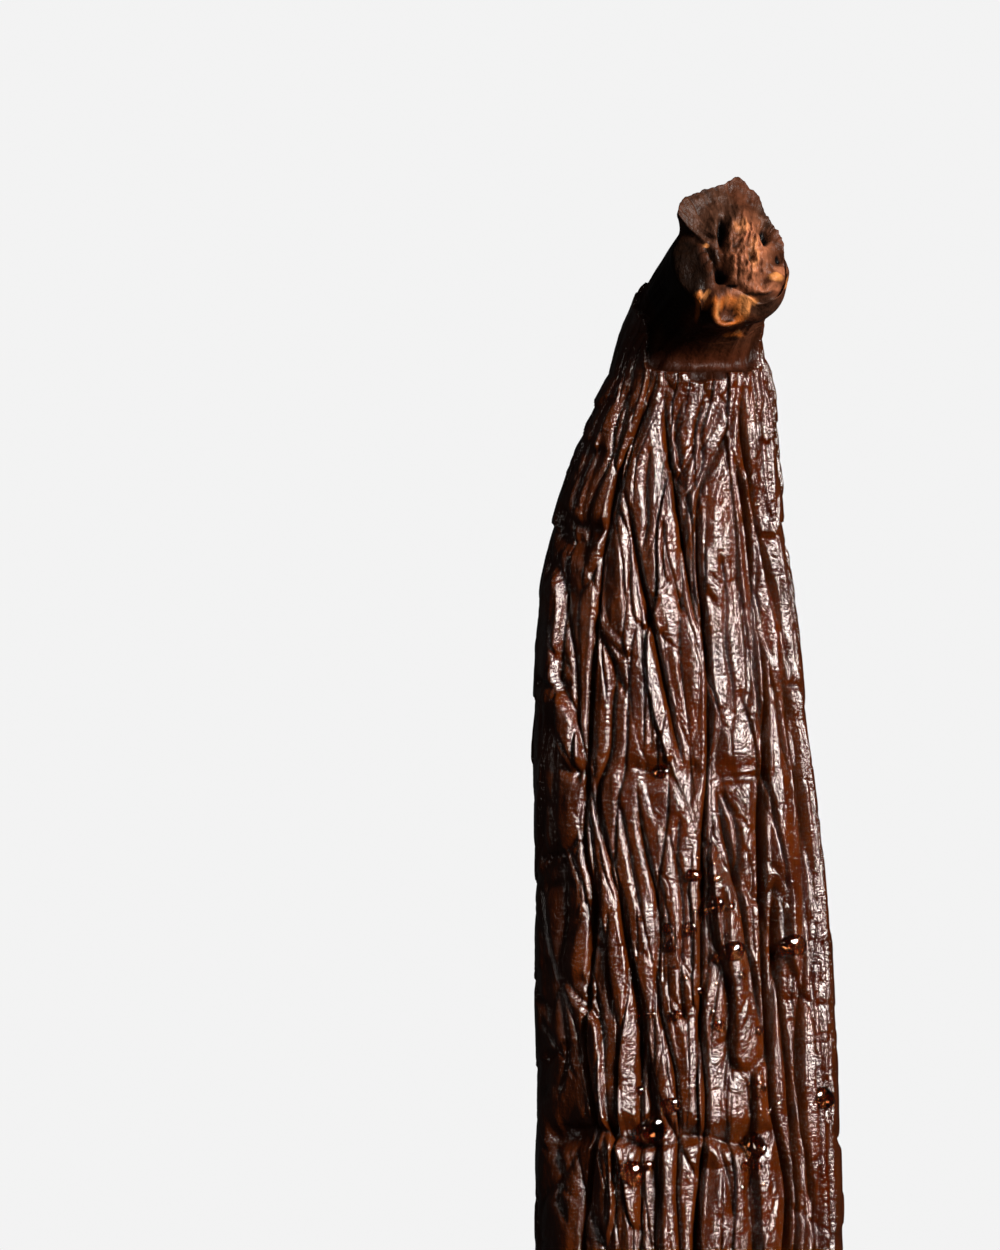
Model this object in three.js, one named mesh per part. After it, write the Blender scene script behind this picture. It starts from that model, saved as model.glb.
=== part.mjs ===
// A cured vanilla pod, dark and wrinkled, lying with its curled stem end up.
// Millimetres, +Z up. The pod lies along Y with its stem end towards +Y and its flattened
// underside on the plane Z = 0. A station is a distance along the pod in millimetres: 0 at the
// collar where the skin ends, negative up the neck, and BODY_LENGTH at the blossom tip. An angle
// goes round a section from the top, in radians, positive towards +X.
import * as THREE from "three";

// The body
const BODY_LENGTH = 144;
const HALF_WIDTH = 4.7; // of the full body
const COLLAR_PINCH = 0.48; // share of the half width that is missing at the collar
const PINCH_FADE = 6.5;
const FLATNESS = 0.62; // half thickness over half width
const COLLAR_ROUNDING = 0.13; // how much rounder the section is at the collar
const UNDERSIDE_FLAT = 0.15; // how far the lowest point is pressed flat
const TIP_TAPER = 24; // length of the narrowing blossom end
const TIP_NARROWING = 0.52;
const TIP_DOME = 3; // length of the rounded end
const TIP_CLOSED = 0.999;

// The line of the body seen from above, and its rise towards the collar
const SWAY = 0.72;
const SWAY_STATION = 6.9;
const BEND = 8;
const BEND_START = 22;
const COLLAR_LIFT = 1.3;
const LIFT_FADE = 4.5;

// The neck and the knob where the stem broke off
const NECK_LENGTH = 5.2;
const KNOB = new THREE.Vector3(1.4, 3.6, 7.2); // middle of its rim, from the collar's middle on the floor
const KNOB_DIRECTION = new THREE.Vector3(0.3, 0.42, 0.86).normalize();
const NECK_START_PULL = 1.9;
const NECK_END_PULL = 2.2;
const NECK_SIDE_RADIUS = 1.95; // at the collar
const NECK_FRONT_RADIUS = 1.35;
const WAIST_SIDE_RADIUS = 1.8; // below the knob
const WAIST_FRONT_RADIUS = 1.5;
const COLLAR_STEP = 0.16; // length over which the skin's edge falls to the neck
const COLLAR_FLAP = 2; // how far the skin reaches up the neck's sides
const LEFT_FLAP = [0.4, 1.0]; // angles between which its edge climbs
const RIGHT_FLAP = [0.75, 1.3];
const SKIN_ON_NECK = 0.12; // how far the flaps stand out from the neck
const PLUG_RISE = 0.3; // of the fibrous core over the broken face
const PLUG_EDGE = [0.35, 0.8]; // shares of the face's radius
const CREVICE_DEPTH = 0.35; // between the core and the lip below it
const CREVICE_REACH = 0.78; // share of the face's radius
// The knob's two outlines, as [degrees from the inner side of the bend, radius]: the edge of the
// broken face, which ends in a thin flap on the outer side, and the thick lip under it.
const FACE_EDGE = [
  [-180, 2.5], [-164, 2.3], [-146, 2.16], [-118, 2.14], [-106, 1.22], [-84, 0.98], [-39, 1.0], [-17, 1.16],
  [5, 1.34], [22, 1.66], [36, 1.82], [71, 1.7], [97, 1.45], [145, 1.52], [160, 1.95], [180, 2.5],
];
const LIP = [[-180, 1.5], [-90, 1.83], [-45, 1.8], [0, 1.8], [45, 2.0], [90, 1.75], [180, 1.5]];

// Resolution
const AROUND = 64;
const TOP_CROWDING = 0.2; // how much closer the points stand on the upper side
const FACE_ROWS = 6;
const NECK_ROWS = 15;
const BODY_ROWS = 66;
const TIP_ROWS = 7;
const ROW_CROWDING = 1.7; // above 1, rows stand closer together near the collar

// The main furrows of the upper side: [station, share of the half width, -1 to 1] along each
const NAMED_FURROWS = [
  { depth: 0.8, path: [[-0.6, -0.4], [3.9, -0.54], [6.9, -0.54], [11.7, -0.61], [14.1, -0.65], [15.9, -0.6],
    [20.2, -0.68], [22.6, -0.61], [26.5, -0.71], [38, -0.62]] },
  { depth: 0.62, path: [[-0.3, -0.37], [0.8, -0.3], [3.2, -0.03], [5.7, 0.15], [8.7, 0.28]] },
  { depth: 0.75, path: [[0.2, 0.6], [1.5, 0.46], [3.2, 0.25], [5.1, 0.24], [8.1, 0.29], [11.7, 0.25],
    [14.7, 0.16], [20, 0.1], [22, 0.12], [26.5, 0.04], [34, 0.09]] },
  { depth: 0.75, path: [[-0.4, 0.68], [1.1, 0.61], [3.9, 0.79], [7.5, 0.91], [11.1, 0.87], [15.3, 0.89],
    [20.2, 0.79], [22.6, 0.79], [26.5, 0.87], [41, 0.82]] },
  { depth: 0.5, path: [[1.6, 0.46], [3.3, 0.64], [5.7, 0.71], [9.3, 0.7], [14.1, 0.575], [20.2, 0.545],
    [22, 0.56], [24.4, 0.66], [26.5, 0.64], [36, 0.52]] },
  { depth: 0.6, path: [[3.2, -0.5], [4.5, -0.35], [6.9, -0.16], [9.3, -0.04], [11.7, 0.05], [12.6, 0.1]] },
  { depth: 0.4, path: [[5, -0.82], [6.3, -0.81], [8.7, -0.69], [12.3, -0.69], [13, -0.66]] },
  { depth: 0.45, path: [[7.5, -0.55], [8.7, -0.42], [10.2, -0.43], [11.4, -0.45], [12.6, -0.54], [14.1, -0.5],
    [17.2, -0.38], [19.6, -0.31], [22, -0.33], [26.5, -0.33], [33, -0.4]] },
  { depth: 0.42, path: [[12, -0.27], [14.1, -0.25], [16.5, -0.16], [19, -0.18], [21.4, -0.08], [25, -0.08],
    [31, -0.03]] },
  { depth: 0.45, path: [[12, 0.26], [15.3, 0.37], [18.4, 0.46], [20.8, 0.53]] },
  { depth: 0.4, path: [[8.1, 0.71], [9.9, 0.78], [12.3, 0.81], [13.6, 0.86]] },
  { depth: 0.42, path: [[15, 0.64], [19, 0.646], [22, 0.7], [25, 0.72], [30, 0.7]] },
];

// The furrows of all the rest, drawn at random
const SEED = 1907;
const FURROW_COUNT = 118;
const FURROW_LENGTH = [12, 44];
const FURROW_DEPTH = [0.28, 0.62];
const FURROW_DRIFT = 0.024; // most turn in radians for each millimetre along
const FURROW_SWING = 0.1;
const FURROW_SWING_LENGTH = [9, 22];
const NAMED_END = 27; // named furrows alone on the upper side as far as this station
const NAMED_HALF_ANGLE = 1.35;

const CREVICE_WIDTH = 0.26;
const VALLEY_WIDTH = 0.55;
const CREVICE_SHARE = 0.6;
const FURROW_FADE = 2.2; // length over which a furrow runs out
const SHALLOW_BELOW = 3.4; // half width below which furrows get shallower

// Transverse folds of the skin: [station, from angle, to angle, slant, depth]
const FOLDS = [
  [4.9, -1.25, -0.6, 0.25, 0.3],
  [12.1, -0.35, 0.7, 0.1, 0.12],
  [23, -1.1, 0.55, 0.15, 0.3],
];
const FOLD_WIDTH = 0.35;
const FOLD_FADE = 0.12;

// Numbers from 0 to 1, the same for the same seed.
function randomFrom(seed) {
  let state = seed;
  return () => {
    state = (state + 0x6d2b79f5) | 0;
    let mixed = Math.imul(state ^ (state >>> 15), 1 | state);
    mixed = (mixed + Math.imul(mixed ^ (mixed >>> 7), 61 | mixed)) ^ mixed;
    return ((mixed ^ (mixed >>> 14)) >>> 0) / 4294967296;
  };
}

const { lerp, clamp, smoothstep } = THREE.MathUtils;

// The height at x of a smooth line through points of [x, height].
function heightAt(points, x) {
  let i = 0;
  while (i < points.length - 2 && x > points[i + 1][0]) i += 1;
  const slope = (a, b) => (points[b][1] - points[a][1]) / (points[b][0] - points[a][0]);
  const last = points.length - 1;
  const before = slope(Math.max(i - 1, 0), i + 1);
  const after = slope(i, Math.min(i + 2, last));
  const step = points[i + 1][0] - points[i][0];
  const u = clamp((x - points[i][0]) / step, 0, 1);
  return (
    (2 * u ** 3 - 3 * u ** 2 + 1) * points[i][1] +
    (u ** 3 - 2 * u ** 2 + u) * step * before +
    (3 * u ** 2 - 2 * u ** 3) * points[i + 1][1] +
    (u ** 3 - u ** 2) * step * after
  );
}

// The difference of two angles, from -PI to PI.
const turn = (a, b) => Math.atan2(Math.sin(a - b), Math.cos(a - b));

// Furrows as { start, end, depth, angleAt(station) }.
function namedFurrows() {
  return NAMED_FURROWS.map(({ depth, path }) => {
    const points = path.map(([station, share]) => [station, Math.asin(share)]);
    return {
      start: path[0][0],
      end: path[path.length - 1][0],
      depth,
      angleAt: (station) => heightAt(points, station),
    };
  });
}

function randomFurrows() {
  const random = randomFrom(SEED);
  const between = ([low, high]) => lerp(low, high, random());
  const furrows = [];
  for (let i = 0; i < FURROW_COUNT; i += 1) {
    const length = between(FURROW_LENGTH);
    const middle = random() * BODY_LENGTH;
    const angle = (i / FURROW_COUNT) * 2 * Math.PI * 13 + random();
    const drift = (2 * random() - 1) * FURROW_DRIFT;
    const swingLength = between(FURROW_SWING_LENGTH);
    const phase = random() * 2 * Math.PI;
    const depth = between(FURROW_DEPTH);
    const angleAt = (station) =>
      angle + drift * (station - middle) +
      FURROW_SWING * Math.sin((2 * Math.PI * station) / swingLength + phase);
    const start = Math.max(middle - length / 2, -0.5);
    const end = Math.min(middle + length / 2, BODY_LENGTH - 1);
    furrows.push({ start, end, depth, angleAt, random: true });
  }
  return furrows;
}

const FURROWS = [...namedFurrows(), ...randomFurrows()];

// 1 where random furrows are at full depth, 0 where the named ones have the place to themselves.
function randomShare(station, angle) {
  const below = smoothstep(Math.abs(turn(angle, 0)), NAMED_HALF_ANGLE, NAMED_HALF_ANGLE + 0.25);
  const beyond = smoothstep(station, NAMED_END, NAMED_END + 5);
  return Math.max(below, beyond);
}

// Half width of the body before its end is rounded off.
function bodyWidth(station) {
  const reach = (station - BODY_LENGTH + TIP_TAPER) / TIP_TAPER;
  const pinch = COLLAR_PINCH * Math.exp(-station / PINCH_FADE);
  return HALF_WIDTH * (1 - pinch) * (1 - TIP_NARROWING * smoothstep(reach, 0, 1));
}

const roundness = (station) => FLATNESS + COLLAR_ROUNDING * Math.exp(-station / LIFT_FADE);

function halfWidth(station) {
  const reach = clamp((station - BODY_LENGTH + TIP_DOME) / TIP_DOME, 0, TIP_CLOSED);
  return bodyWidth(station) * Math.sqrt(1 - reach ** 2);
}

const halfThickness = (station) => halfWidth(station) * roundness(station);

// The middle of the body's section at a station.
function bodyMiddle(station) {
  const pull = (station / SWAY_STATION) * Math.exp(1 - station / SWAY_STATION);
  const bend = Math.max(station - BEND_START, 0) / (BODY_LENGTH - BEND_START);
  const lift = COLLAR_LIFT * Math.exp(-station / LIFT_FADE);
  const height = bodyWidth(station) * roundness(station) - UNDERSIDE_FLAT + lift;
  return new THREE.Vector3(BEND * bend ** 2 - SWAY * pull ** 2, -station, height);
}

const NECK = (() => {
  const collar = bodyMiddle(0);
  const knob = KNOB.clone();
  return new THREE.CubicBezierCurve3(
    collar,
    collar.clone().add(new THREE.Vector3(0, NECK_START_PULL, 0)),
    knob.clone().addScaledVector(KNOB_DIRECTION, -NECK_END_PULL),
    knob,
  );
})();

// The section's frame: its middle, the side direction and the up direction.
function frameAt(station) {
  const ahead = 0.01;
  const middle = station < 0 ? NECK.getPoint(-station / NECK_LENGTH) : bodyMiddle(station);
  const along =
    station < 0
      ? NECK.getTangent(-station / NECK_LENGTH).negate()
      : bodyMiddle(station + ahead).sub(middle).normalize();
  const side = new THREE.Vector3(1, 0, 0).addScaledVector(along, -along.x).normalize();
  return { middle, along, side, up: new THREE.Vector3().crossVectors(along, side) };
}

// How deep the skin is folded in at a point of the body.
function furrowDepth(station, angle) {
  const arc = Math.hypot(halfWidth(station) * Math.cos(angle), halfThickness(station) * Math.sin(angle));
  let deepest = 0;
  for (const furrow of FURROWS) {
    if (station < furrow.start || station > furrow.end) continue;
    const away = Math.abs(turn(angle, furrow.angleAt(station))) * arc;
    const runOut = Math.min(station - furrow.start, furrow.end - station) / FURROW_FADE;
    const share = furrow.random ? randomShare(station, angle) : 1;
    const profile =
      CREVICE_SHARE * Math.exp(-away / CREVICE_WIDTH) +
      (1 - CREVICE_SHARE) * Math.exp(-((away / VALLEY_WIDTH) ** 2));
    deepest = Math.max(deepest, furrow.depth * profile * share * smoothstep(runOut, 0, 1));
  }
  return deepest * Math.min(1, halfWidth(station) / SHALLOW_BELOW);
}

function foldDepth(station, angle) {
  let deepest = 0;
  for (const [middle, from, to, slant, depth] of FOLDS) {
    const side = smoothstep(angle, from - FOLD_FADE, from) * (1 - smoothstep(angle, to, to + FOLD_FADE));
    const away = (station - middle - slant * Math.sin(5 * angle)) / FOLD_WIDTH;
    deepest = Math.max(deepest, depth * side * Math.exp(-(away ** 2)));
  }
  return deepest;
}

// The station at which the skin's edge stands, round the neck.
function collarStation(angle) {
  return -COLLAR_FLAP * Math.max(smoothstep(-angle, ...LEFT_FLAP), smoothstep(angle, ...RIGHT_FLAP));
}

const radiusAt = (outline, angle) => heightAt(outline, THREE.MathUtils.radToDeg(angle));

// Half width and half thickness of the neck at a share of the way from the collar to the knob.
function neckRadii(share, angle) {
  const slim = smoothstep(share, 0, 0.7);
  const flare = smoothstep(share, 0.6, 0.86);
  const top = lerp(radiusAt(LIP, angle), radiusAt(FACE_EDGE, angle), smoothstep(share, 0.86, 1));
  const side = lerp(NECK_SIDE_RADIUS, WAIST_SIDE_RADIUS, slim);
  const front = lerp(NECK_FRONT_RADIUS, WAIST_FRONT_RADIUS, slim);
  return [lerp(side, top, flare), lerp(front, top, flare)];
}

// A point of the surface. The underside is pressed flat on the floor.
function pointAt(station, angle) {
  const { middle, side, up } = frameAt(station);
  const [neckSide, neckFront] = neckRadii(clamp(-station / NECK_LENGTH, 0, 1), angle);
  const skin = smoothstep(station - collarStation(angle), -COLLAR_STEP, COLLAR_STEP);
  const overNeck = (neck) => (station < 0 ? neck + SKIN_ON_NECK : 0);
  const across = lerp(neckSide, Math.max(halfWidth(station), overNeck(neckSide)), skin);
  const high = lerp(neckFront, Math.max(halfThickness(station), overNeck(neckFront)), skin);
  const inward = skin * Math.max(furrowDepth(station, angle), foldDepth(station, angle));
  const normal = new THREE.Vector2(Math.sin(angle) / across, Math.cos(angle) / high).normalize();
  const point = middle
    .clone()
    .addScaledVector(side, across * Math.sin(angle) - inward * normal.x)
    .addScaledVector(up, high * Math.cos(angle) - inward * normal.y);
  point.z = Math.max(point.z, 0);
  return point;
}

// A point of the knob's broken face: a fibrous core, and a crevice between it and the lip.
function facePoint(share, angle) {
  const { middle, along, side, up } = frameAt(-NECK_LENGTH);
  const radius = radiusAt(FACE_EDGE, angle) * share;
  const lower = smoothstep(Math.cos(angle), -0.2, 0.3);
  const plug = PLUG_RISE * (1 - smoothstep(share, ...PLUG_EDGE));
  const rise = plug - CREVICE_DEPTH * lower * smoothstep(share, CREVICE_REACH, 1);
  return middle
    .clone()
    .addScaledVector(side, radius * Math.sin(angle))
    .addScaledVector(up, radius * Math.cos(angle))
    .addScaledVector(along, -rise);
}

// Every row of points from the knob's face to the blossom tip, as functions of the angle.
function surfaceRows() {
  const rows = [];
  for (let i = 1; i <= FACE_ROWS; i += 1) rows.push((angle) => facePoint(i / FACE_ROWS, angle));
  for (let i = 1; i < NECK_ROWS; i += 1) {
    const station = -NECK_LENGTH * (1 - i / NECK_ROWS);
    rows.push((angle) => pointAt(station, angle));
  }
  const tipStart = BODY_LENGTH - TIP_DOME;
  for (let i = 0; i < BODY_ROWS; i += 1) {
    const share = (i / BODY_ROWS) ** ROW_CROWDING;
    rows.push((angle) => pointAt(share * tipStart, angle));
  }
  for (let i = 0; i < TIP_ROWS; i += 1) {
    const share = Math.sin((i / TIP_ROWS) * (Math.PI / 2));
    rows.push((angle) => pointAt(lerp(tipStart, BODY_LENGTH, share), angle));
  }
  return rows;
}

function columnAngle(i) {
  const round = ((i / AROUND) * 2 - 1) * Math.PI;
  return round - TOP_CROWDING * Math.sin(round);
}

// One closed surface: rings of points joined by triangles, with a single point at each end.
function podGeometry() {
  const positions = [];
  const triangles = [];
  const add = (point) => positions.push(point.x, point.y, point.z) / 3 - 1;
  const rings = surfaceRows().map((row) =>
    Array.from({ length: AROUND }, (_, i) => add(row(columnAngle(i)))),
  );
  const knobEnd = add(facePoint(0, 0));
  const tipEnd = add(bodyMiddle(BODY_LENGTH));
  for (let i = 0; i < AROUND; i += 1) {
    const next = (i + 1) % AROUND;
    triangles.push(knobEnd, rings[0][i], rings[0][next]);
    for (let row = 0; row < rings.length - 1; row += 1) {
      const [a, b] = [rings[row], rings[row + 1]];
      triangles.push(a[i], b[i], b[next], a[i], b[next], a[next]);
    }
    const last = rings[rings.length - 1];
    triangles.push(tipEnd, last[next], last[i]);
  }
  const geometry = new THREE.BufferGeometry();
  geometry.setAttribute("position", new THREE.Float32BufferAttribute(positions, 3));
  geometry.setIndex(triangles);
  geometry.computeBoundingBox();
  const middle = geometry.boundingBox.getCenter(new THREE.Vector3());
  geometry.translate(-middle.x, -middle.y, 0);
  geometry.computeVertexNormals();
  return geometry;
}

const skin = new THREE.MeshStandardMaterial({ color: 0x3a1a0e, roughness: 0.35, metalness: 0 });
const pod = new THREE.Mesh(podGeometry(), skin);
pod.name = "pod";

const group = new THREE.Group();
group.add(pod);
export default group;
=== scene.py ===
# A cured vanilla pod with dark, oily, wrinkled skin and the broken stub of its stem, lying on a
# pale surface under soft light from the right.
# Sizes are millimetres until a mesh is made. A station is a distance along the pod from the collar,
# where the skin ends: negative up the neck, BODY_LENGTH at the blossom tip. An angle goes round a
# section from the top, in radians, positive towards +X. A share is a part of the half width.
import math
from functools import partial

import bpy
import numpy as np
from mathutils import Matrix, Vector


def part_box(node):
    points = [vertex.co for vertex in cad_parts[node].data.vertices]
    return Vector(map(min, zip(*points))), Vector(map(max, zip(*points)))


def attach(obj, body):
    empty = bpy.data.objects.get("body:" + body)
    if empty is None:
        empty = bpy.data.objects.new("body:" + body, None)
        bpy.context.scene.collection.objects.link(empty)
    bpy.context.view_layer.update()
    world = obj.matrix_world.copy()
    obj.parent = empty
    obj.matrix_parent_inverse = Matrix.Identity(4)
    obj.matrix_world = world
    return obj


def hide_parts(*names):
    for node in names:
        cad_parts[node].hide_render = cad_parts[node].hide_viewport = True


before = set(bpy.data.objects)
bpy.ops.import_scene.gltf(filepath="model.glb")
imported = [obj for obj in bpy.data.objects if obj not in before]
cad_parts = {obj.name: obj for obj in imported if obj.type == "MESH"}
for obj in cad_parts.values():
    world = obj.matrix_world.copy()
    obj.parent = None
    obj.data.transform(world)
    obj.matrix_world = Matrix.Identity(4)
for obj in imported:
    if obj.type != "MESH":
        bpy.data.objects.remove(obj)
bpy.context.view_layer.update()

MM = 0.001
TURN = 2 * math.pi

# The body, as in the solid
BODY_LENGTH = 144
HALF_WIDTH = 4.7
COLLAR_PINCH = 0.48
PINCH_FADE = 6.5
FLATNESS = 0.62
COLLAR_ROUNDING = 0.13
UNDERSIDE_FLAT = 0.15
TIP_TAPER = 24
TIP_NARROWING = 0.52
TIP_DOME = 3
TIP_CLOSED = 0.999
SWAY = 0.72
SWAY_STATION = 6.9
BEND = 8
BEND_START = 22
COLLAR_LIFT = 1.3
LIFT_FADE = 4.5

# The neck and the knob, as in the solid
NECK_LENGTH = 5.2
KNOB = np.array([1.4, 3.6, 7.2])
KNOB_DIRECTION = np.array([0.3, 0.42, 0.86])
NECK_START_PULL = 1.9
NECK_END_PULL = 2.2
NECK_SIDE_RADIUS = 1.95
NECK_FRONT_RADIUS = 1.35
WAIST_SIDE_RADIUS = 1.8
WAIST_FRONT_RADIUS = 1.5
COLLAR_STEP = 0.16
COLLAR_FLAP = 2
LEFT_FLAP = (0.4, 1.0)
RIGHT_FLAP = (0.75, 1.3)
SKIN_ON_NECK = 0.12
PLUG_RISE = 0.3
PLUG_EDGE = (0.35, 0.8)
CREVICE_DEPTH = 0.35
CREVICE_REACH = 0.78
CREVICE_SIDE = (-0.2, 0.3)  # cosines of the angles between which it begins
WAIST_SHARE = 0.7
FLARE = (0.6, 0.86)  # between which shares of the neck it widens to the lip
FACE_EDGE = [
    (-180, 2.5), (-164, 2.3), (-146, 2.16), (-118, 2.14), (-106, 1.22), (-84, 0.98), (-39, 1.0),
    (-17, 1.16), (5, 1.34), (22, 1.66), (36, 1.82), (71, 1.7), (97, 1.45), (145, 1.52), (160, 1.95),
    (180, 2.5),
]
LIP = [(-180, 1.5), (-90, 1.83), (-45, 1.8), (0, 1.8), (45, 2.0), (90, 1.75), (180, 1.5)]

# Furrows of the solid: depth and [station, share] along each
NAMED_FURROWS = [
    (0.8, [(-0.6, -0.4), (3.9, -0.54), (6.9, -0.54), (11.7, -0.61), (14.1, -0.65), (15.9, -0.6),
           (20.2, -0.68), (22.6, -0.61), (26.5, -0.71), (38, -0.62)]),
    (0.62, [(-0.3, -0.37), (0.8, -0.3), (3.2, -0.03), (5.7, 0.15), (8.7, 0.28)]),
    (0.75, [(0.2, 0.6), (1.5, 0.46), (3.2, 0.25), (5.1, 0.24), (8.1, 0.29), (11.7, 0.25),
            (14.7, 0.16), (20, 0.1), (22, 0.12), (26.5, 0.04), (34, 0.09)]),
    (0.75, [(-0.4, 0.68), (1.1, 0.61), (3.9, 0.79), (7.5, 0.91), (11.1, 0.87), (15.3, 0.89),
            (20.2, 0.79), (22.6, 0.79), (26.5, 0.87), (41, 0.82)]),
    (0.5, [(1.6, 0.46), (3.3, 0.64), (5.7, 0.71), (9.3, 0.7), (14.1, 0.575), (20.2, 0.545),
           (22, 0.56), (24.4, 0.66), (26.5, 0.64), (36, 0.52)]),
    (0.6, [(3.2, -0.5), (4.5, -0.35), (6.9, -0.16), (9.3, -0.04), (11.7, 0.05), (12.6, 0.1)]),
    (0.4, [(5, -0.82), (6.3, -0.81), (8.7, -0.69), (12.3, -0.69), (13, -0.66)]),
    (0.45, [(7.5, -0.55), (8.7, -0.42), (10.2, -0.43), (11.4, -0.45), (12.6, -0.54), (14.1, -0.5),
            (17.2, -0.38), (19.6, -0.31), (22, -0.33), (26.5, -0.33), (33, -0.4)]),
    (0.42, [(12, -0.27), (14.1, -0.25), (16.5, -0.16), (19, -0.18), (21.4, -0.08), (25, -0.08),
            (31, -0.03)]),
    (0.45, [(12, 0.26), (15.3, 0.37), (18.4, 0.46), (20.8, 0.53)]),
    (0.4, [(8.1, 0.71), (9.9, 0.78), (12.3, 0.81), (13.6, 0.86)]),
    (0.42, [(15, 0.64), (19, 0.646), (22, 0.7), (25, 0.72), (30, 0.7)]),
]
SEED = 1907
FURROW_COUNT = 118
FURROW_LENGTH = (12, 44)
FURROW_DEPTH = (0.28, 0.62)
FURROW_DRIFT = 0.024
FURROW_SWING = 0.1
FURROW_SWING_LENGTH = (9, 22)
FURROW_TURNS = 13  # how often their row goes round the pod
FURROWS_START = -0.5
FURROWS_END = BODY_LENGTH - 1
NAMED_END = (27, 32)
NAMED_SIDE = (1.35, 1.6)
CREVICE_WIDTH = 0.26
VALLEY_WIDTH = 0.55
CREVICE_SHARE = 0.6
FURROW_FADE = 2.2
SHALLOW_BELOW = 3.4
# Folds: station, first and last angle, slant, depth
FOLDS = [(4.9, -1.25, -0.6, 0.25, 0.3), (12.1, -0.35, 0.7, 0.1, 0.12), (23, -1.1, 0.55, 0.15, 0.3)]
FOLD_WIDTH = 0.35
FOLD_FADE = 0.12
FOLD_WAVES = 5

# Finer creases that run along the upper side: depth, width and (station, share) along each
CREASES_ALONG = [
    (0.22, 0.1, [(8.1, -0.826), (9.3, -0.8), (10.5, -0.836), (12.3, -0.84), (13.5, -0.86)]),
    (0.26, 0.1, [(7.5, -0.555), (8.7, -0.42), (9.3, -0.37), (9.9, -0.31)]),
    (0.2, 0.08, [(17.2, -0.37), (17.9, -0.18)]),
    (0.2, 0.09, [(14.4, 0.46), (15.3, 0.495), (16.2, 0.475), (17.2, 0.47), (18, 0.49)]),
    (0.24, 0.09, [(23.2, -0.92), (24.1, -0.845), (25, -0.85), (25.8, -0.79)]),
    (0.2, 0.09, [(22.9, -0.57), (23.8, -0.53), (25, -0.535), (25.9, -0.53)]),
    (0.2, 0.08, [(22.9, 0.16), (23.8, 0.22), (24.7, 0.27), (25.9, 0.3)]),
    (0.22, 0.09, [(0.4, -0.05), (1.4, -0.12), (2.4, -0.02), (3.4, 0.1)]),
    (0.22, 0.09, [(0.3, 0.22), (1.3, 0.1), (2.2, 0.12), (3.1, 0.02), (4.1, 0.06)]),
    (0.2, 0.09, [(0.3, 0.4), (1.1, 0.32), (1.9, 0.22), (2.8, 0.18)]),
    (0.24, 0.09, [(0.3, -0.7), (1.6, -0.72), (2.9, -0.66), (4.4, -0.72), (6, -0.68)]),
    (0.22, 0.1, [(0.4, 0.86), (2.3, 0.86), (4.6, 0.93)]),
    (0.2, 0.08, [(4.2, -0.08), (5.4, -0.02), (6.6, 0.08), (7.6, 0.14)]),
    (0.22, 0.08, [(5.2, 0.42), (6.6, 0.47), (8.2, 0.44), (9.8, 0.47), (10.6, 0.45)]),
    (0.2, 0.08, [(2.2, -0.3), (3.4, -0.26), (4.6, -0.2), (5.4, -0.22)]),
    (0.22, 0.08, [(12.8, -0.4), (14, -0.36), (15.2, -0.33), (16.4, -0.29)]),
    (0.2, 0.08, [(13.2, 0.02), (14.8, -0.02), (16.4, 0.0), (18.4, -0.03), (20, 0.0)]),
    (0.2, 0.08, [(15.6, 0.27), (17.4, 0.26), (19.2, 0.3), (21.6, 0.29)]),
    (0.2, 0.08, [(22.4, -0.2), (23.8, -0.22), (25.4, -0.19), (27, -0.22)]),
    (0.2, 0.08, [(21.8, 0.42), (23.4, 0.44), (25, 0.4), (27, 0.43)]),
    (0.24, 0.09, [(14, -0.82), (16.2, -0.8), (18, -0.84), (20.4, -0.8), (22, -0.86)]),
    (0.2, 0.08, [(16, -0.5), (18, -0.52), (20, -0.46), (22, -0.48)]),
    (0.2, 0.07, [(8, 0.93), (14, 0.95), (20, 0.93), (23, 0.94)]),
    (0.2, 0.07, [(10, 0.975), (18, 0.97), (27, 0.965)]),
    (0.22, 0.07, [(14.5, 0.91), (20, 0.885), (25, 0.9), (28, 0.91)]),
    (0.2, 0.07, [(17.5, 0.8), (21, 0.76), (25, 0.77), (28, 0.75)]),
    (0.2, 0.06, [(15.2, -0.97), (17.4, -0.9), (19.3, -0.76), (21, -0.7)]),
    (0.18, 0.06, [(14, -0.78), (15.6, -0.66), (17.6, -0.62)]),
    (0.18, 0.06, [(18.4, -0.62), (20, -0.57), (21.6, -0.6)]),
    (0.18, 0.06, [(12.6, 0.3), (13.8, 0.4), (15, 0.39), (16.4, 0.33)]),
]
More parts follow.
